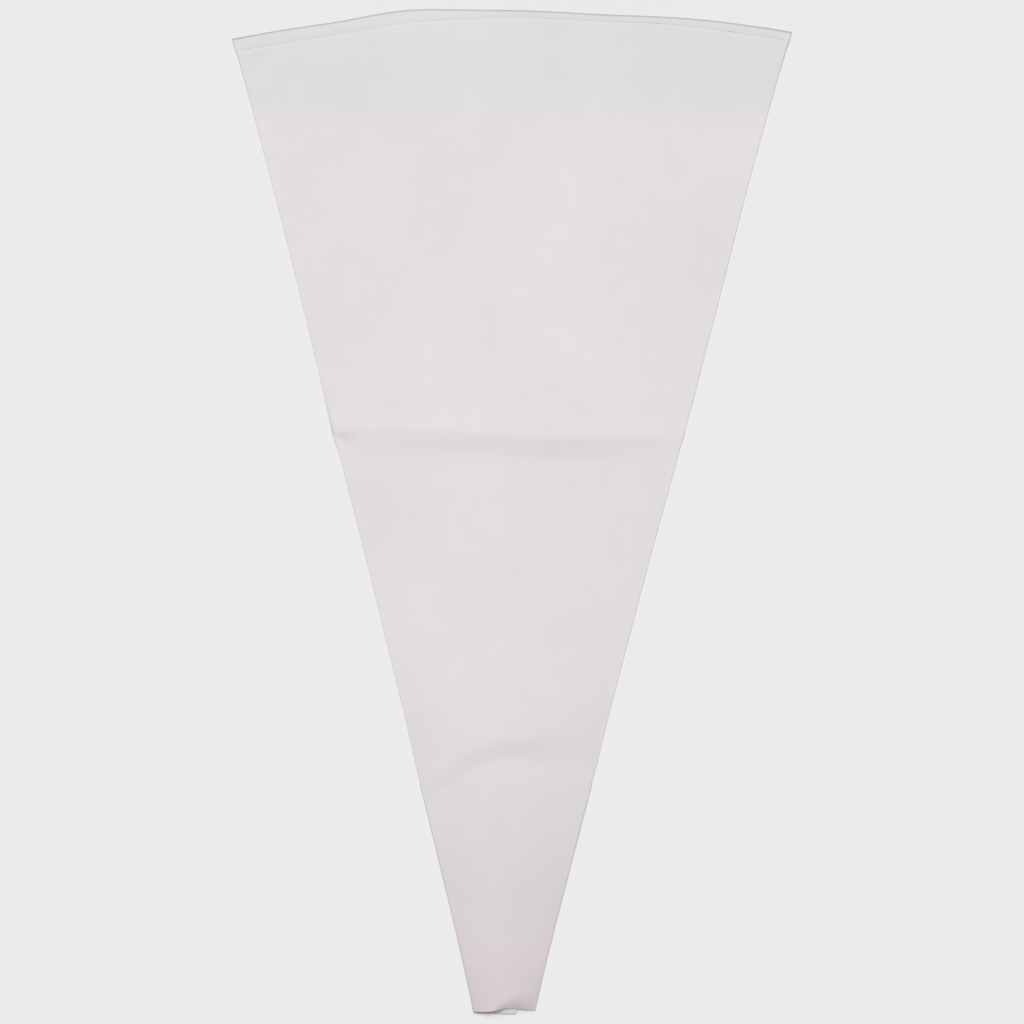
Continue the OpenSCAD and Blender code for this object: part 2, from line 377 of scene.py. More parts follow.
class BagStage(bpy.types.PropertyGroup):
    """Camera and light."""

    camera_height: size("Camera height", "Height of the camera over the floor", 2.2)
    camera_x: size("Camera across", "Place of the camera across the bag", 0.0018)
    camera_y: size("Camera along", "Place of the camera along the bag", -0.0011)
    camera_turn: turned("Camera turn", "Turn of the camera about its view", 0.0082)
    view_width: size("View width", "Width of the picture at the bag", 0.4696)
    ambient: share("Ambient light", "Share of the light that comes from all round", 0.30)
    key: share("Key light", "Share of the light that comes from the soft key", 0.70)
    key_angle: turned("Key angle", "Breadth of the soft key, seen from the bag", math.radians(50))


def mix(first, last, part):
    """Value between two others."""
    return first + (last - first) * part


def ease(start, end, value):
    """0 before start and 1 after end, with a smooth rise between them."""
    part = min(max((value - start) / (end - start), 0.0), 1.0)
    return part * part * (3.0 - 2.0 * part)


def hill(value, centre, spread):
    """Rounded hill of height 1."""
    return math.exp(-(((value - centre) / spread) ** 2))


def half_width(shape, along, hand):
    """Distance from the middle line to the side, on the left (-1) or the right (1)."""
    straight = mix(shape.tip_width, shape.mouth_width, along / shape.side_run) / 2
    if along < shape.crease_at:
        run = along / shape.crease_at
        bow = shape.lower_bow
    else:
        run = (along - shape.crease_at) / (shape.side_run - shape.crease_at)
        bow = shape.upper_bow
    run = min(max(run, 0.0), 1.0)
    drawn = bow * (1.0 - (2.0 * run - 1.0) ** BOW_POWER)
    drawn *= mix(shape.sleeve_bow, 1.0, ease(*BOW_STRETCH, along))
    if hand > 0:
        drawn += shape.right_tuck * hill(along, shape.crease_at, RIGHT_TUCK_SPREAD)
        drawn += shape.right_hollow * hill(along, HOLLOW_AT, HOLLOW_SPREAD)
    else:
        drawn += shape.left_tuck * hill(along, shape.crease_at - LEFT_TUCK_BELOW, LEFT_TUCK_SPREAD)
        drawn -= shape.left_flare * ease(*FLARE_STRETCH, along)
    return straight - drawn


def mouth_edge(shape, across):
    """Distance of the front's mouth edge from the tip, at a place across from -1 to 1."""
    edge = shape.side_run + shape.mouth_lean * across + shape.mouth_rise * (1.0 - across**2)
    for height, place, spread in MOUTH_SWELLINGS:
        edge += height * hill(across, place, spread)
    return edge


def crease_line(shape, x):
    """Distance of the half fold's crease from the tip."""
    return shape.crease_at - shape.crease_drop * math.tanh((x - shape.crease_middle) / shape.crease_run)


def swell(shape, x, along, sleeve_length):
    """Rise of the front wall over the flat-pressed bag, before its crown."""
    part = min(max(along / sleeve_length, 0.0), 1.0)
    rise = mix(shape.tip_swell, shape.sleeve_swell, part**SWELL_POWER)
    rise += shape.upper_swell * max(0.0, along - sleeve_length) / (shape.side_run - sleeve_length)
    beside = x - shape.arc_shift
    bend = shape.arc_bend * mix(1.0, ARC_RIGHT_BEND, ease(*ARC_RIGHT_STRETCH, beside))
    arc = shape.arc_at - bend * beside**2
    half = shape.arc_width / 2 * (1.0 + shape.arc_ease * ease(0.0, ARC_EASE_RUN, beside))
    rise += shape.arc_step * ease(arc - half, arc + half, along)
    line = crease_line(shape, x)
    fall = shape.ridge_fall - (shape.crease_at + shape.crease_drop - line)
    ridge = shape.ridge * fall / shape.ridge_fall
    past = along - line
    if past < 0.0:
        kink = shape.ridge_kink * math.exp(past / KINK_REACH)
        return rise + kink + (ridge - shape.ridge_kink) * ease(-fall, 0.0, past)
    upper = past / (shape.side_run - shape.crease_at)
    return rise + ridge + shape.mouth_swell * upper


def ripple(x, along):
    """Slack of the cloth at a place, the same on every run."""
    total = 0.0
    for height, across, length in RIPPLES:
        total += height * noise.noise(Vector((x / across, along / length, across)) + RIPPLE_PLACE)
    return total


def tip_bend(shape, x, along):
    """Share of the swell at the tip, where the right part of the front is pressed down to the back."""
    run = min(max((x - shape.press_start) / shape.press_run, 0.0), 1.0)
    line = shape.press_reach * mix(PRESS_LEFT, 1.0, math.sin(math.pi / 2 * run))
    past = line - along
    stand = 1.0 + PRESS_STAND * math.exp(min(past, 0.0) / shape.press_reach)
    part = min(max(past / line, 0.0), 1.0)
    if part < PRESS_ROUND:
        fall = part**2 / (2.0 * PRESS_ROUND)
    else:
        fall = part - PRESS_ROUND / 2
    pressed = PRESS_DEPTH * ease(shape.press_start, shape.press_full, x)
    return stand * (1.0 - pressed * fall / (1.0 - PRESS_ROUND / 2))


def crease_pinch(shape, x, along):
    """Rise above and fall below the pinched left end of the crease."""
    below = crease_line(shape, x) - along
    bend = PINCH_STAND * math.exp(min(below, 0.0) / PINCH_REACH) - ease(0.0, PINCH_FALL, below)
    bend += PINCH_RETURN * ease(*PINCH_RETURN_STRETCH, below)
    return shape.pinch * bend * hill(x, PINCH_AT, PINCH_SPREAD)


def lift(shape, x, along, sleeve_length):
    """Height of the front wall over the flat-pressed bag."""
    left = half_width(shape, along, -1)
    right = half_width(shape, along, 1)
    across = (2.0 * x + left - right) / (left + right)
    power = mix(shape.tip_crown, shape.crown_power, ease(*CROWN_STRETCH, along / sleeve_length))
    crown = max(0.0, 1.0 - abs(across / shape.rim_share) ** power)
    slack = max(0.0, 1.0 - across**SLACK_POWER)
    rise = swell(shape, x, along, sleeve_length) * crown + slack * ripple(x, along)
    if along < sleeve_length:
        rise *= tip_bend(shape, x, along)
    return max(0.0, rise + crease_pinch(shape, x, along))


def columns_of(zones):
    """Zone and place in it for every mesh column."""
    columns = []
    for zone, count in zones:
        columns += [(zone, step / count) for step in range(count)]
    columns.append((zones[-1][0], 1.0))
    return columns


def rows_of(start, stops):
    """Distances from the tip for the mesh rows."""
    rows = []
    for end, count in stops:
        rows += [mix(start, end, step / count) for step in range(count)]
        start = end
    return rows


def back_part(zone, part):
    """0 on the front and 1 on the back, changing round the rolled sides."""
    return {"front": 0.0, "back": 1.0, "lap": 1.0, "left_turn": 1.0 - part, "right_turn": part}[zone]


def wrap_point(zone, part, left, right, turn, fold, seam):
    """Place across and height of a wrapped sheet before the front's lift; fold moves it inwards."""
    start, step, end = seam
    if zone == "back":
        x = mix(right - start, turn - left, part)
        over = ease(right - end - LAP_RAMP, right - end, x) if start < end else 0.0
        return x, fold + step * over
    if zone == "lap":
        return mix(right - turn, right - end, part), fold
    if zone == "front":
        return mix(turn - left, right - turn, part), 2.0 * turn - fold
    angle = math.pi * part
    radius = turn - fold
    if zone == "left_turn":
        return turn - left - radius * math.sin(angle), turn - radius * math.cos(angle)
    return right - turn + radius * math.sin(angle), turn + radius * math.cos(angle)


def cut_place(shape, zone, part, x, along, turn):
    """Where a point lay on the flat cut, with the front upright and the back turned over a side."""
    if zone == "front":
        return x, along
    hand = 1 if zone in ("right_turn", "lap") else -1
    lean = math.atan((shape.mouth_width - shape.tip_width) / 2 / shape.side_run)
    out = Vector((hand * math.cos(lean), -math.sin(lean)))
    place = Vector((x, along))
    side = Vector((hand * half_width(shape, along, hand), along))
    if zone in ("left_turn", "right_turn"):
        rolled = part if hand > 0 else 1.0 - part
        front = side - Vector((hand * turn, 0.0))
        return tuple(front + out * (math.pi * turn * rolled))
    inside = max(0.0, (side - place).dot(out))
    return tuple(place + out * (2.0 * inside + (math.pi - 2.0) * turn))


def finish_piece(name, body, materials):
    """Object made from a bmesh, with its materials, in the scene."""
    mesh = bpy.data.meshes.new(name)
    body.to_mesh(mesh)
    body.free()
    for material in materials:
        mesh.materials.append(material)
    piece = bpy.data.objects.new(name, mesh)
    bpy.context.scene.collection.objects.link(piece)
    return piece


def make_sheet(name, columns, rows, place, thickness, materials):
    """Grid laid over columns and rows by place, with the cloth's thickness behind it."""
    body = bmesh.new()
    wide = len(columns) - 1
    high = len(rows) - 1
    bmesh.ops.create_grid(body, x_segments=wide, y_segments=high, size=0.5)
    # Painted shade of each point, kept as an attribute for the materials.
    painted_shade_layer = body.verts.layers.float.new(PAINTED_SHADE_ATTRIBUTE)
    maps = {}
    for vert in body.verts:
        column = columns[round((vert.co.x + 0.5) * wide)]
        row = rows[round((vert.co.y + 0.5) * high)]
        x, along, z, cut, worn = place(*column, row)
        vert.co = Vector((x, TIP_END + along, z))
        vert[painted_shade_layer] = worn
        maps[vert] = (cut, (x, along))
    layers = [body.loops.layers.uv.new(WEAVE_MAP), body.loops.layers.uv.new(LAID_MAP)]
    for face in body.faces:
        face.smooth = True
        for loop in face.loops:
            for layer, value in zip(layers, maps[loop.vert]):
                loop[layer].uv = value
    for edge in body.edges:
        edge.smooth = not edge.is_boundary
    sheet = finish_piece(name, body, materials)
    solid = sheet.modifiers.new("cloth_thickness", "SOLIDIFY")
    solid.thickness = thickness
    solid.offset = -1.0
    solid.use_rim = True
    solid.material_offset = 1
    solid.material_offset_rim = 2
    return sheet


def new_group(name, inputs, outputs):
    """Empty shader node group with named sockets, its tree, and its two end nodes."""
    tree = bpy.data.node_groups.new(name, "ShaderNodeTree")
    for label, kind, default in inputs:
        socket = tree.interface.new_socket(name=label, in_out="INPUT", socket_type=kind)
        if default is not None:
            socket.default_value = default
    for label, kind in outputs:
        tree.interface.new_socket(name=label, in_out="OUTPUT", socket_type=kind)
    return tree, tree.nodes.new("NodeGroupInput"), tree.nodes.new("NodeGroupOutput")


def add_node(tree, kind, settings=(), **values):
    """New node with attributes from settings and input values or links by socket name."""
    node = tree.nodes.new(kind)
    for name, value in dict(settings).items():
        setattr(node, name, value)
    for name, value in values.items():
        set_input(tree, node.inputs[name.replace("_", " ")], value)
    return node


def set_input(tree, socket, value):
    """Link a socket, or set its value."""
    if isinstance(value, bpy.types.NodeSocket):
        tree.links.new(value, socket)
    else:
        socket.default_value = value


def reckon(tree, operation, first, second=0.0):
    """Output of a Math node."""
    node = tree.nodes.new("ShaderNodeMath")
    node.operation = operation
    set_input(tree, node.inputs[0], first)
    set_input(tree, node.inputs[1], second)
    return node.outputs[0]


def scaled(tree, value, low, high):
    """A value from 0 to 1 brought between two others."""
    node = add_node(tree, "ShaderNodeMapRange", Value=value, To_Min=low, To_Max=high)
    return node.outputs[0]


def tinted(tree, blend, factor, first, second):
    """Output of a colour Mix node."""
    node = tree.nodes.new("ShaderNodeMix")
    node.data_type = "RGBA"
    node.blend_type = blend
    set_input(tree, node.inputs[0], factor)
    set_input(tree, node.inputs[6], first)
    set_input(tree, node.inputs[7], second)
    return node.outputs[2]


def plain_weave():
    """Group: height, and painted shade in the gaps, of a plain weave whose threads lie on a flat-cut map."""
    name = "plain_weave"
    if name in bpy.data.node_groups:
        return bpy.data.node_groups[name]
    tree, start, end = new_group(
        name,
        [
            ("Vector", "NodeSocketVector", None),
            ("Pitch", "NodeSocketFloat", 0.0006),
            ("Slub", "NodeSocketFloat", 0.3),
        ],
        [("Height", "NodeSocketFloat"), ("Shade", "NodeSocketFloat")],
    )
    parts = add_node(tree, "ShaderNodeSeparateXYZ", Vector=start.outputs["Vector"])
    waves = []
    for axis in ("X", "Y"):
        turns = reckon(tree, "DIVIDE", parts.outputs[axis], start.outputs["Pitch"])
        waves.append(reckon(tree, "SINE", reckon(tree, "MULTIPLY", turns, math.pi)))
    tops = []
    for across, along, rise in ((*waves, WEAVE_RISE), (*reversed(waves), -WEAVE_RISE)):
        rounded = reckon(tree, "POWER", reckon(tree, "ABSOLUTE", across), THREAD_ROUND)
        bend = reckon(tree, "MULTIPLY", reckon(tree, "SIGN", across), along)
        thread = reckon(tree, "MULTIPLY_ADD", bend, rise)
        tree.links.new(rounded, thread.node.inputs[2])
        tops.append(thread)
    level = reckon(tree, "DIVIDE", reckon(tree, "MAXIMUM", *tops), 1.0 + WEAVE_RISE)
    uneven = add_node(
        tree,
        "ShaderNodeTexNoise",
        {"noise_dimensions": "2D"},
        Vector=start.outputs["Vector"],
        Scale=SLUB_SCALE,
        Detail=2.0,
    )
    loss = reckon(tree, "MULTIPLY", uneven.outputs[0], start.outputs["Slub"])
    height = reckon(tree, "SUBTRACT", level, loss)
    tree.links.new(height, end.inputs["Height"])
    tree.links.new(reckon(tree, "SMOOTH_MIN", level, SHADE_TOP), end.inputs["Shade"])
    return tree


def soft_mottle():
    """Group: faint cloudy patches, from 0 to 1, for cloth and coating."""
    name = "soft_mottle"
    if name in bpy.data.node_groups:
        return bpy.data.node_groups[name]
    tree, start, end = new_group(
        name,
        [("Vector", "NodeSocketVector", None), ("Scale", "NodeSocketFloat", 18.0)],
        [("Mask", "NodeSocketFloat")],
    )
    total = 0.0
    for fineness, detail, part in MOTTLE_LAYERS:
        layer = add_node(
            tree,
            "ShaderNodeTexNoise",
            {"noise_dimensions": "2D"},
            Vector=start.outputs["Vector"],
            Scale=reckon(tree, "MULTIPLY", start.outputs["Scale"], fineness),
            Detail=detail,
        )
        total = reckon(tree, "ADD", reckon(tree, "MULTIPLY", layer.outputs[0], part), total)
    low, high = MOTTLE_RANGE
    mask = add_node(tree, "ShaderNodeMapRange", Value=total, From_Min=low, From_Max=high)
    tree.links.new(mask.outputs[0], end.inputs["Mask"])
    return tree


def new_material(name):
    """New material, its tree and its shader."""
    material = bpy.data.materials.new(name)
    material.use_nodes = True
    tree = material.node_tree
    shader = tree.nodes["Principled BSDF"]
    return material, tree, shader


def placed_group(tree, group, **values):
    """Node of a shared group."""
    node = tree.nodes.new("ShaderNodeGroup")
    node.node_tree = group
    for name, value in values.items():
        set_input(tree, node.inputs[name], value)
    return node


def sheet_maps(tree):
    """Flat-cut and laid coordinates of a sheet."""
    cut = add_node(tree, "ShaderNodeUVMap", {"uv_map": WEAVE_MAP})
    laid = add_node(tree, "ShaderNodeUVMap", {"uv_map": LAID_MAP})
    return cut.outputs[0], laid.outputs[0]


def along_colour(tree, laid, stops):
    """Colour that changes along the bag, from stops of distance and colour."""
    parts = add_node(tree, "ShaderNodeSeparateXYZ", Vector=laid)
    first = stops[0][0]
    last = stops[-1][0]
    run = add_node(
        tree,
        "ShaderNodeMapRange",
        Value=parts.outputs["Y"],
        From_Min=first,
        From_Max=last,
    )
    ramp = add_node(tree, "ShaderNodeValToRGB", Fac=run.outputs[0])
    ramp.color_ramp.interpolation = "EASE"
    elements = ramp.color_ramp.elements
    while len(elements) < len(stops):
        elements.new(0.5)
    for element, (place, tone) in zip(elements, stops):
        element.position = (place - first) / (last - first)
        element.color = (*tone, 1.0)
    return ramp.outputs[0]


def painted_shade_factor(tree):
    """Painted shade of a sheet from its own attribute: 1 where unshaded and less on the mouth's fold and the
    tip's cut ends.
    """
    worn = add_node(tree, "ShaderNodeAttribute", {"attribute_name": PAINTED_SHADE_ATTRIBUTE})
    return scaled(tree, worn.outputs["Fac"], *PAINTED_SHADE_RANGE)


def set_surface(tree, shader, tone, shade, roughness, specular):
    """Give a shader its shaded colour, roughness and shine."""
    base = tinted(tree, "MULTIPLY", 1.0, tone, shade)
    tree.links.new(base, shader.inputs["Base Color"])
    set_input(tree, shader.inputs["Roughness"], roughness)
    shader.inputs["Specular IOR Level"].default_value = specular


def set_bump(tree, shader, height, strength, distance):
    """Give a shader a fine bump."""
    bump = add_node(tree, "ShaderNodeBump", Height=height, Strength=strength, Distance=distance)
    tree.links.new(bump.outputs[0], shader.inputs["Normal"])


def woven_material(name, stops, cloth):
    """Woven cloth whose colour changes along the bag, with painted shade between the threads and at folds
    and cut ends, soft patches and a fine bump.
    """
    material, tree, shader = new_material(name)
    cut, laid = sheet_maps(tree)
    weave = placed_group(tree, plain_weave(), Vector=cut, Pitch=cloth["pitch"], Slub=cloth["slub"])
    mottle = placed_group(tree, soft_mottle(), Vector=laid, Scale=19.0)
    tone = along_colour(tree, laid, stops)
    patches = scaled(tree, mottle.outputs["Mask"], *CLOTH_PATCHES)
    # Painted shade between the threads, darker in their gaps.
    threads = scaled(tree, weave.outputs["Shade"], 1.0 - cloth["shade"], 1.0)
    factor = reckon(tree, "MULTIPLY", reckon(tree, "MULTIPLY", patches, threads), painted_shade_factor(tree))
    roughness = scaled(tree, mottle.outputs["Mask"], *CLOTH_ROUGHNESS)
    set_surface(tree, shader, tone, factor, roughness, specular=0.25)
    set_bump(tree, shader, weave.outputs["Height"], strength=cloth["bump"], distance=0.00012)
    shader.inputs["Sheen Weight"].default_value = 0.08
    shader.inputs["Sheen Roughness"].default_value = 0.5
    return material


def coating_material(name, tone):
    """Smooth food-safe coating on the inside, with the weave showing faintly through."""
    material, tree, shader = new_material(name)
    cut, laid = sheet_maps(tree)
    weave = placed_group(tree, plain_weave(), Vector=cut, Pitch=BAG_WEAVE["pitch"], Slub=0.2)
    mottle = placed_group(tree, soft_mottle(), Vector=laid, Scale=26.0)
    patches = scaled(tree, mottle.outputs["Mask"], *COATING_PATCHES)
    # Painted shade from the sheet's attribute darkens the fold and the cut ends inside too.
    factor = reckon(tree, "MULTIPLY", patches, painted_shade_factor(tree))
    roughness = scaled(tree, mottle.outputs["Mask"], *COATING_ROUGHNESS)
    set_surface(tree, shader, (*tone, 1.0), factor, roughness, specular=0.45)
    set_bump(tree, shader, weave.outputs["Height"], strength=0.10, distance=0.0001)
    return material


def edge_material(name, tone):
    """Raw cut edge, where the thread ends show."""
    material, tree, shader = new_material(name)
    place = add_node(tree, "ShaderNodeTexCoord").outputs["Object"]
    fibres = add_node(tree, "ShaderNodeTexNoise", Vector=place, Scale=1800.0, Detail=3.0)
    depth = scaled(tree, fibres.outputs[0], *EDGE_FIBRES)
    roughness = scaled(tree, fibres.outputs[0], *EDGE_ROUGHNESS)
    set_surface(tree, shader, (*tone, 1.0), depth, roughness, specular=0.15)
    return material


def thread_material(name, tone, worn):
    """Twisted thread, with a few soiled stitches marked by the piece's own attribute."""
    material, tree, shader = new_material(name)
    place = add_node(tree, "ShaderNodeTexCoord")
    twist = add_node(
        tree,
        "ShaderNodeTexWave",
        {"wave_type": "BANDS", "bands_direction": "DIAGONAL"},
        Vector=place.outputs["Object"],
        Scale=900.0,
        Distortion=0.6,
    )
    soil = add_node(tree, "ShaderNodeAttribute", {"attribute_name": SOIL})
    base = tinted(tree, "MIX", soil.outputs["Fac"], (*tone, 1.0), (*worn, 1.0))
    strands = scaled(tree, twist.outputs["Fac"], *THREAD_STRANDS)
    roughness = scaled(tree, twist.outputs["Fac"], *THREAD_ROUGHNESS)
    set_surface(tree, shader, base, strands, roughness, specular=0.25)
    set_bump(tree, shader, twist.outputs["Fac"], strength=0.4, distance=0.00008)
    return material


def shared_material(name, maker, *values):
    """Material made once and used again by name."""
    return bpy.data.materials.get(name) or maker(name, *values)


def bag_cloth_materials(finish, sleeve_length, crease, mouth):
    """Outside, inside and cut edge of the bag cloth."""
    stops = (
        (sleeve_length, finish.collar_cloth),
        (sleeve_length + COLLAR_FADE, finish.lower_cloth),
        (crease - CREASE_FADE, finish.lower_cloth),
        (crease + CREASE_FADE, finish.bag_cloth),
        (mouth - MOUTH_FADE_START, finish.bag_cloth),
        # Painted shade towards the mouth.
        (mouth - MOUTH_FADE_END, finish.mouth_cloth),
        (mouth, finish.mouth_cloth),
    )
    outside = shared_material("coated_cotton_cloth", woven_material, stops, BAG_WEAVE)
    return cloth_faces(finish, outside)


def sleeve_materials(finish, sleeve_length):
    """Outside, inside and cut edge of the sleeve's cloth."""
    stops = (
        (TIP_TONE_START, finish.tip_cloth),
        (sleeve_length * MID_TONE_SHARE, mid_tone(finish.tip_cloth, finish.sleeve_cloth)),
        (sleeve_length, finish.sleeve_cloth),
    )
    outside = shared_material("sleeve_cotton_cloth", woven_material, stops, SLEEVE_WEAVE)
    return cloth_faces(finish, outside)


def cloth_faces(finish, outside):
    """The three faces of a sheet with this outside."""
    inside = shared_material("inner_coating", coating_material, finish.coating)
    edge = shared_material("raw_edge", edge_material, finish.raw_edge)
    return outside, inside, edge


def mid_tone(first, second):
    """Colour half way between two."""
    return [mix(low, high, 0.5) for low, high in zip(first, second)]


def across_at_mouth(shape, cloth, zone, part):
    """Place of a column across the mouth, from -1 to 1."""
    half = shape.mouth_width / 2
    seam = (cloth.lap_start, 0.0, cloth.lap_end)
    x = wrap_point(zone, part, half, half, cloth.turn, 0.0, seam)[0]
    return x / half


def hem_bulk(cloth, short):
    """1 in the hem and 0 well below it; short is the distance left to the mouth's edge."""
    return 1.0 - ease(cloth.hem_depth, cloth.hem_depth + cloth.hem_ease, short)


def stitch_inset(stitch, across):
    """Distance of the stitch line from the mouth's edge."""
    inset = mix(stitch.left_inset, stitch.middle_inset, ease(*LEFT_INSET_STRETCH, across))
    return mix(inset, stitch.right_inset, ease(*RIGHT_INSET_STRETCH, across))


def bag_row(shape, cloth, across, edge, row):
    """Distance from the tip, inward fold and unrolled distance of a mesh row of the bag cloth."""
    kind, value = row
    radius = cloth.hem_turn
    if kind == "wall":
        along = value + (edge - mouth_edge(shape, 0.0)) * ease(*MOUTH_ROW_STRETCH, value)
        x = across * half_width(shape, value, 1)
        follow = hill(value, shape.crease_at, CREASE_ROW_SPREAD)
        along += (crease_line(shape, x) - shape.crease_at) * follow
        return along, 0.0, along
    if kind == "turn":
        angle = math.pi * value
        unrolled = edge - radius + radius * angle
        return edge - radius + radius * math.sin(angle), radius - radius * math.cos(angle), unrolled
    return edge - radius - value, 2.0 * radius, edge + (math.pi - 1.0) * radius + value


def bag_section(shape, cloth, sleeve, along, short):
    """Half widths, back level, side radius and seam of the bag cloth at a place."""
    tucked = 1.0 - ease(*TUCK_STRETCH, along - sleeve.length)
    step = sleeve.step * tucked
    bulk = hem_bulk(cloth, short)
    end = 1.0 - ease(cloth.hem_depth - HEM_FLARE_RUN, cloth.hem_depth, short)
    crease = hill(along, shape.crease_at, CREASE_ROLL_SPREAD)
    turn = mix(cloth.turn * (1.0 + CREASE_ROLL * crease), HEM_ROLL * cloth.hem_turn, bulk)
    left = half_width(shape, along, -1) - step + cloth.hem_flare * end
    right = half_width(shape, along, 1) - step + cloth.hem_flare * end / 2
    seam = (cloth.lap_start, (1.0 + bulk) * cloth.lap_step, cloth.lap_end)
    return left, right, step, turn, seam


def front_height(shape, cloth, sleeve, stitch, x, along, across):
    """Height of the bag cloth's front over the floor."""
    short = mouth_edge(shape, across) - along
    level, turn = bag_section(shape, cloth, sleeve, along, short)[2:4]
    groove = stitch.groove * hill(short, stitch_inset(stitch, across), stitch.groove_width)
    return level + 2.0 * turn + lift(shape, x, along, sleeve.length) - groove


def bag_point(scene, zone, part, row):
    """Place of a point of the bag cloth, where it lay on the flat cut, and its painted shade."""
    shape, cloth, sleeve, stitch = scene.bag_shape, scene.bag_cloth, scene.bag_sleeve, scene.bag_stitch
    across = across_at_mouth(shape, cloth, zone, part)
    edge = mouth_edge(shape, across) + shape.back_peek * back_part(zone, part)
    along, fold, unrolled = bag_row(shape, cloth, across, edge, row)
    short = edge - along
    left, right, level, turn, seam = bag_section(shape, cloth, sleeve, along, short)
    x, z = wrap_point(zone, part, left, right, turn, fold, seam)
    z += level
    sunk = hill(short, stitch_inset(stitch, across), stitch.groove_width)
    if zone == "front":
        z += lift(shape, x, along, sleeve.length) - stitch.groove * sunk
    elif zone in ("back", "lap") and row[0] == "wall":
        z += stitch.back_groove * sunk
    cut = cut_place(shape, zone, part, x, unrolled, turn)
    # Painted shade darkens the mouth's turned fold and fades out just below it.
    worn = MOUTH_PAINTED_SHADE
    if row[0] != "turn":
        worn *= 1.0 - ease(0.0, MOUTH_PAINTED_SHADE_REACH, short)
    return x, along, z, cut, worn


def bag_rows(shape, cloth):
    """Mesh rows of the bag cloth, from inside the sleeve to the hem's raw edge."""
    last = mouth_edge(shape, 0.0) - cloth.hem_turn
    crease = [(shape.crease_at + past, count) for past, count in CREASE_ROW_STOPS]
    stops = (*LOWER_ROW_STOPS, *crease, *UPPER_ROW_STOPS, (last, HEM_EDGE_ROWS))
    rows = [("wall", value) for value in rows_of(BAG_ROW_START, stops)]
    rows += [("turn", step / HEM_TURN_ROWS) for step in range(HEM_TURN_ROWS)]
    inside = cloth.hem_depth - cloth.hem_turn
    rows += [("hem", inside * step / HEM_INSIDE_ROWS) for step in range(HEM_INSIDE_ROWS + 1)]
    return rows


def tip_trim(trims, zone, part):
    """Distance of a tip sheet's cut end from the tip line, round the wrap."""
    back, front, dent, right = trims
    if zone == "front":
        return mix(front, right, ease(*TRIM_STRETCH, part)) + dent * hill(part, DENT_AT, DENT_SPREAD)
    if zone == "left_turn":
        return mix(back, front, part)
    return back if zone == "back" else right


def tip_painted_shade(zone, x, row):
    """Painted shade of the sleeve and the lining at their cut ends, from 0 to 1."""
    # Painted shade along the right part of the pressed front's cut end.
    if zone == "front":
        worn = PRESS_PAINTED_SHADE * ease(*PRESS_PAINTED_SHADE_STRETCH, x)
        return worn * (1.0 - ease(0.0, PRESS_PAINTED_SHADE_REACH, row))
    if zone != "back":
        return 0.0
    # Painted shadow on the back's cut end, darkest on the left where the front's edge stands over it.
    worn = 1.0
    for part, start, end in BACK_PAINTED_SHADOW_FADES:
        worn -= part * ease(start, end, x)
    return worn * (1.0 - ease(0.0, BACK_PAINTED_SHADOW_REACH, row))


def tip_point(scene, layer, trims, seam, zone, part, row):
    """Place of a point of the sleeve or the lining, where it lay on the flat cut, and its painted shade."""
    shape, sleeve = scene.bag_shape, scene.bag_sleeve
    step, turn = layer
    along = row + tip_trim(trims, zone, part) * (1.0 - ease(0.0, TRIM_REACH, row))
    left = half_width(shape, along, -1) - step
    right = half_width(shape, along, 1) - step
    x, z = wrap_point(zone, part, left, right, turn, 0.0, seam)
    z += step
    if zone == "front":
        z += lift(shape, x, along, sleeve.length)
    cut = cut_place(shape, zone, part, x, along, turn)
    return x, along, z, cut, tip_painted_shade(zone, x, row)


def tip_rows(end):
    """Mesh rows of the sleeve or the lining, from the tip to its upper edge."""
    return rows_of(0.0, (*TIP_ROW_STOPS, (end, TIP_ROWS_TO_EDGE))) + [end]


class PIPINGBAG_OT_bag_cloth(bpy.types.Operator):
    """Roll the bag cloth with its lap seam and turned-in hem"""

    bl_idname = "piping_bag.bag_cloth"
    bl_label = "Bag cloth"

    def execute(self, context):
        scene = context.scene
        shape, cloth, sleeve = scene.bag_shape, scene.bag_cloth, scene.bag_sleeve
        mouth = mouth_edge(shape, 0.0)
        materials = bag_cloth_materials(scene.bag_finish, sleeve.length, shape.crease_at, mouth)
        place = partial(bag_point, scene)
        rows = bag_rows(shape, cloth)
        bag = make_sheet("bag_cloth", columns_of(BAG_ZONES), rows, place, cloth.thickness, materials)
        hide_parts("mouth_front_wall", "mouth_back_wall", "middle_front_wall", "middle_back_wall")
        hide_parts("front_hem", "back_hem", "mouth_side_seam", "middle_side_seam")
        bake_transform(bag)
        return {"FINISHED"}


class PIPINGBAG_OT_tip_sleeve(bpy.types.Operator):
    """Wrap the sleeve round the tip, with its edges meeting at a seam on the back"""

    bl_idname = "piping_bag.tip_sleeve"
    bl_label = "Tip sleeve"

    def execute(self, context):
        scene = context.scene
        cloth, sleeve = scene.bag_cloth, scene.bag_sleeve
        materials = sleeve_materials(scene.bag_finish, sleeve.length)
        trims = (-sleeve.back_trim, sleeve.front_trim, sleeve.dent_trim, sleeve.right_trim)
        turn = cloth.turn + sleeve.step
        seam = (cloth.lap_end + sleeve.seam_gap, 0.0, cloth.lap_end)
        place = partial(tip_point, scene, (0.0, turn), trims, seam)
        rows = tip_rows(sleeve.length)
        wrap = make_sheet("tip_sleeve", columns_of(TIP_ZONES), rows, place, sleeve.thickness, materials)
        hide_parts("tip_sleeve_front", "tip_sleeve_back", "sleeve_edge_front", "sleeve_edge_back")
        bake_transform(wrap)
        return {"FINISHED"}


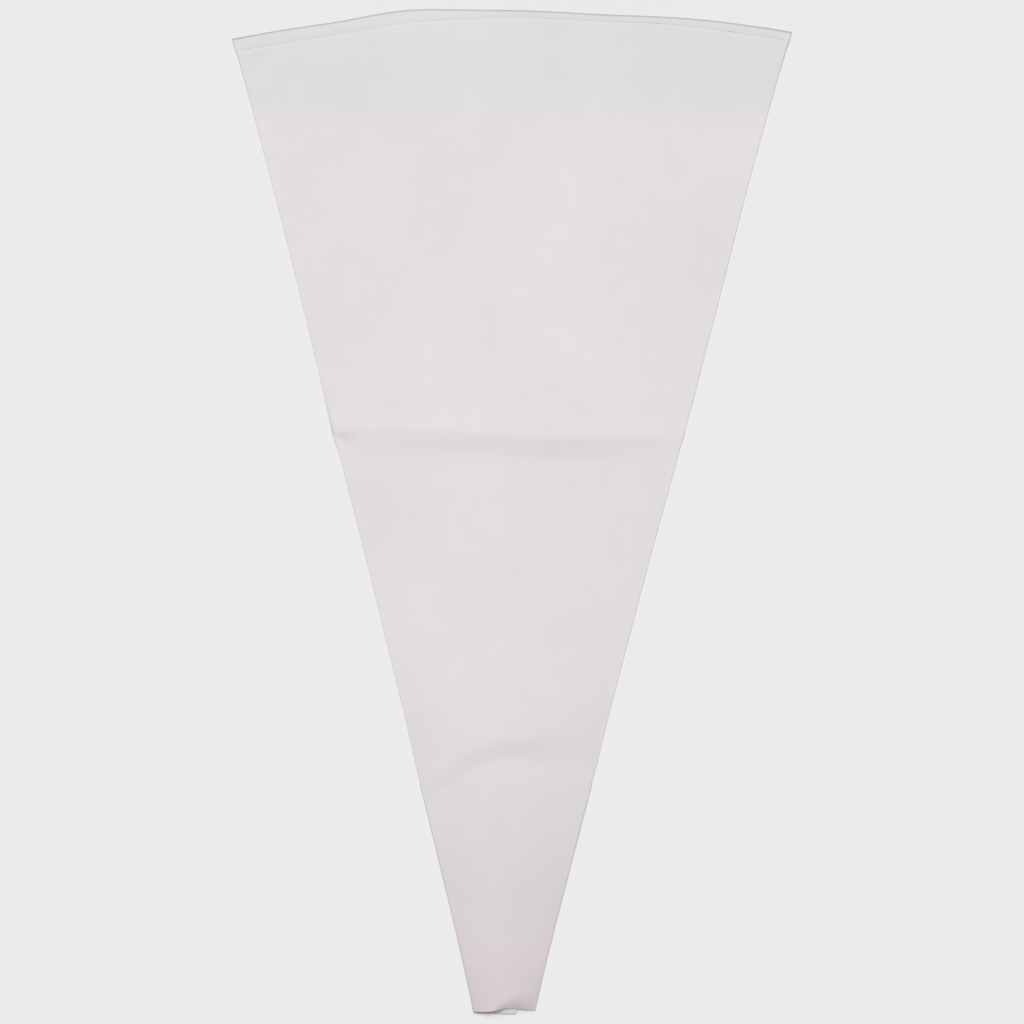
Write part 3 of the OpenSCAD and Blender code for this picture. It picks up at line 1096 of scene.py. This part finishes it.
class PIPINGBAG_OT_tip_lining(bpy.types.Operator):
    """Carry the bag's own cloth on through the sleeve to the tip"""

    bl_idname = "piping_bag.tip_lining"
    bl_label = "Tip lining"

    def execute(self, context):
        scene = context.scene
        shape, cloth, sleeve = scene.bag_shape, scene.bag_cloth, scene.bag_sleeve
        mouth = mouth_edge(shape, 0.0)
        materials = bag_cloth_materials(scene.bag_finish, sleeve.length, shape.crease_at, mouth)
        front = sleeve.front_trim + LINING_SHORT
        right = sleeve.right_trim + LINING_SHORT
        trims = (-sleeve.lining_trim, front, sleeve.dent_trim, right)
        seam = (cloth.lap_start, cloth.lap_step, cloth.lap_end)
        place = partial(tip_point, scene, (sleeve.step, cloth.turn), trims, seam)
        rows = tip_rows(BAG_ROW_START - LINING_GAP)
        lining = make_sheet("tip_lining", columns_of(TIP_ZONES), rows, place, cloth.thickness, materials)
        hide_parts("tip_front_wall", "tip_back_wall", "tip_side_seam")
        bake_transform(lining)
        return {"FINISHED"}


def stitch_place(scene, x, face):
    """Point on the stitch line of the front (face 1) or the back (face -1)."""
    shape, cloth, sleeve, stitch = scene.bag_shape, scene.bag_cloth, scene.bag_sleeve, scene.bag_stitch
    across = 2.0 * x / shape.mouth_width
    along = mouth_edge(shape, across) - stitch_inset(stitch, across)
    if face < 0:
        return Vector((x, TIP_END + along + shape.back_peek, stitch.thickness / 2))
    height = front_height(shape, cloth, sleeve, stitch, x, along, across)
    return Vector((x, TIP_END + along, height))


def add_stitch(body, soil, first, last, up, thickness, dirt):
    """One stitch: a slim grain from first to last, sunk by a little over half its thickness."""
    run = last - first
    side = up.cross(run).normalized()
    over = run.cross(side).normalized()
    axes = Matrix((side, over, run.normalized())).transposed().to_4x4()
    stretch = Matrix.Diagonal((thickness / 2, thickness / 2, run.length / 2, 1.0))
    middle = (first + last) / 2 - over * thickness * STITCH_SINK
    grain = bmesh.ops.create_uvsphere(
        body,
        u_segments=STITCH_SIDES,
        v_segments=STITCH_RINGS,
        radius=1.0,
        matrix=Matrix.Translation(middle) @ axes @ stretch,
    )
    for vert in grain["verts"]:
        vert[soil] = dirt


def make_stitches(scene, name, face, soiled, thread):
    """Row of stitches along the hem on one face of the bag."""
    stitch = scene.bag_stitch
    body = bmesh.new()
    soil = body.verts.layers.float.new(SOIL)
    reach = scene.bag_shape.mouth_width / 2 - stitch.margin
    count = int(2.0 * reach / stitch.pitch)
    up = Vector((0.0, 0.0, face))
    for step in range(count + 1):
        x = mix(-reach, reach, step / count)
        first = stitch_place(scene, x - stitch.length / 2, face)
        last = stitch_place(scene, x + stitch.length / 2, face)
        dirt = max([hill(x, place, SOIL_SPREAD) for place in soiled], default=0.0)
        add_stitch(body, soil, first, last, up, stitch.thickness, dirt)
    for side in body.faces:
        side.smooth = True
    return finish_piece(name, body, [thread])


class PIPINGBAG_OT_hem_stitches(bpy.types.Operator):
    """Sew the hem with a row of stitches on the front and one on the back"""

    bl_idname = "piping_bag.hem_stitches"
    bl_label = "Hem stitches"

    def execute(self, context):
        scene = context.scene
        finish = scene.bag_finish
        thread = shared_material("sewing_thread", thread_material, finish.thread, finish.worn_thread)
        rows = (
            ("hem_stitches_front", 1, SOILED_PLACES, "front_hem_thread"),
            ("hem_stitches_back", -1, (), "back_hem_thread"),
        )
        for name, face, soiled, node in rows:
            stitches = make_stitches(scene, name, face, soiled, thread)
            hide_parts(node)
            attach(stitches, "mouth_section")
        return {"FINISHED"}


class PIPINGBAG_OT_stage(bpy.types.Operator):
    """Lay the plain floor and set the soft light and the camera"""

    bl_idname = "piping_bag.stage"
    bl_label = "Stage"

    def execute(self, context):
        scene = context.scene
        stage = scene.bag_stage
        add_floor(scene.bag_finish.floor)
        add_light(scene, stage)
        add_camera(scene, stage)
        scene.view_settings.view_transform = "Standard"
        return {"FINISHED"}


def add_floor(tone):
    """Plain matt floor just under the bag."""
    material, tree, shader = new_material("pale_floor")
    place = add_node(tree, "ShaderNodeTexCoord").outputs["Object"]
    mottle = placed_group(tree, soft_mottle(), Vector=place, Scale=3.0)
    patches = scaled(tree, mottle.outputs["Mask"], *FLOOR_PATCHES)
    set_surface(tree, shader, (*tone, 1.0), patches, roughness=1.0, specular=0.0)
    body = bmesh.new()
    bmesh.ops.create_grid(body, x_segments=4, y_segments=4, size=FLOOR_REACH)
    bmesh.ops.translate(body, verts=body.verts, vec=(0.0, 0.0, -FLOOR_DROP))
    floor = finish_piece("floor", body, [material])


def add_light(scene, stage):
    """Even surround and one broad soft key from above the mouth, a little from the left."""
    world = bpy.data.worlds.new("surround")
    world.use_nodes = True
    background = world.node_tree.nodes["Background"]
    background.inputs["Color"].default_value = (1.0, 1.0, 1.0, 1.0)
    background.inputs["Strength"].default_value = stage.ambient
    scene.world = world
    lamp = bpy.data.lights.new("soft_key", "SUN")
    lamp.energy = stage.key * math.pi / KEY_TOWARD.z
    lamp.angle = stage.key_angle
    key = bpy.data.objects.new("soft_key", lamp)
    key.location = KEY_TOWARD * KEY_DISTANCE
    key.rotation_euler = KEY_TOWARD.to_track_quat("Z", "Y").to_euler()
    scene.collection.objects.link(key)


def add_camera(scene, stage):
    """Camera straight above the bag."""
    lens = bpy.data.cameras.new("camera")
    lens.sensor_width = SENSOR_WIDTH
    lens.lens = SENSOR_WIDTH * stage.camera_height / stage.view_width
    camera = bpy.data.objects.new("camera", lens)
    camera.location = (stage.camera_x, stage.camera_y, stage.camera_height)
    camera.rotation_euler = (0.0, 0.0, stage.camera_turn)
    scene.collection.objects.link(camera)
    scene.camera = camera


class PIPINGBAG_PT_sidebar(bpy.types.Panel):
    """Sizes, colours and steps of the piping bag"""

    bl_idname = "PIPINGBAG_PT_sidebar"
    bl_label = "Piping bag"
    bl_space_type = "VIEW_3D"
    bl_region_type = "UI"
    bl_category = "Piping bag"

    def draw(self, context):
        for operator in OPERATORS:
            self.layout.operator(operator.bl_idname)
        for name, group in GROUPS.items():
            box = self.layout.box()
            box.label(text=group.__doc__)
            for field in group.__annotations__:
                box.prop(getattr(context.scene, name), field)


GROUPS = {
    "bag_shape": BagShape,
    "bag_cloth": BagCloth,
    "bag_sleeve": BagSleeve,
    "bag_stitch": BagStitch,
    "bag_finish": BagFinish,
    "bag_stage": BagStage,
}
OPERATORS = (
    PIPINGBAG_OT_bag_cloth,
    PIPINGBAG_OT_tip_sleeve,
    PIPINGBAG_OT_tip_lining,
    PIPINGBAG_OT_hem_stitches,
    PIPINGBAG_OT_stage,
)


def register():
    """Add the bag's settings, steps and sidebar to Blender."""
    for name, group in GROUPS.items():
        bpy.utils.register_class(group)
        setattr(bpy.types.Scene, name, PointerProperty(type=group))
    for kind in (*OPERATORS, PIPINGBAG_PT_sidebar):
        bpy.utils.register_class(kind)


def unregister():
    """Take them away again."""
    for kind in (PIPINGBAG_PT_sidebar, *reversed(OPERATORS)):
        bpy.utils.unregister_class(kind)
    for name, group in reversed(GROUPS.items()):
        delattr(bpy.types.Scene, name)
        bpy.utils.unregister_class(group)


def main():
    """Build the bag and its stage."""
    register()
    bpy.ops.piping_bag.bag_cloth()
    bpy.ops.piping_bag.tip_sleeve()
    bpy.ops.piping_bag.tip_lining()
    bpy.ops.piping_bag.hem_stitches()
    bpy.ops.piping_bag.stage()


if __name__ == "__main__":
    main()
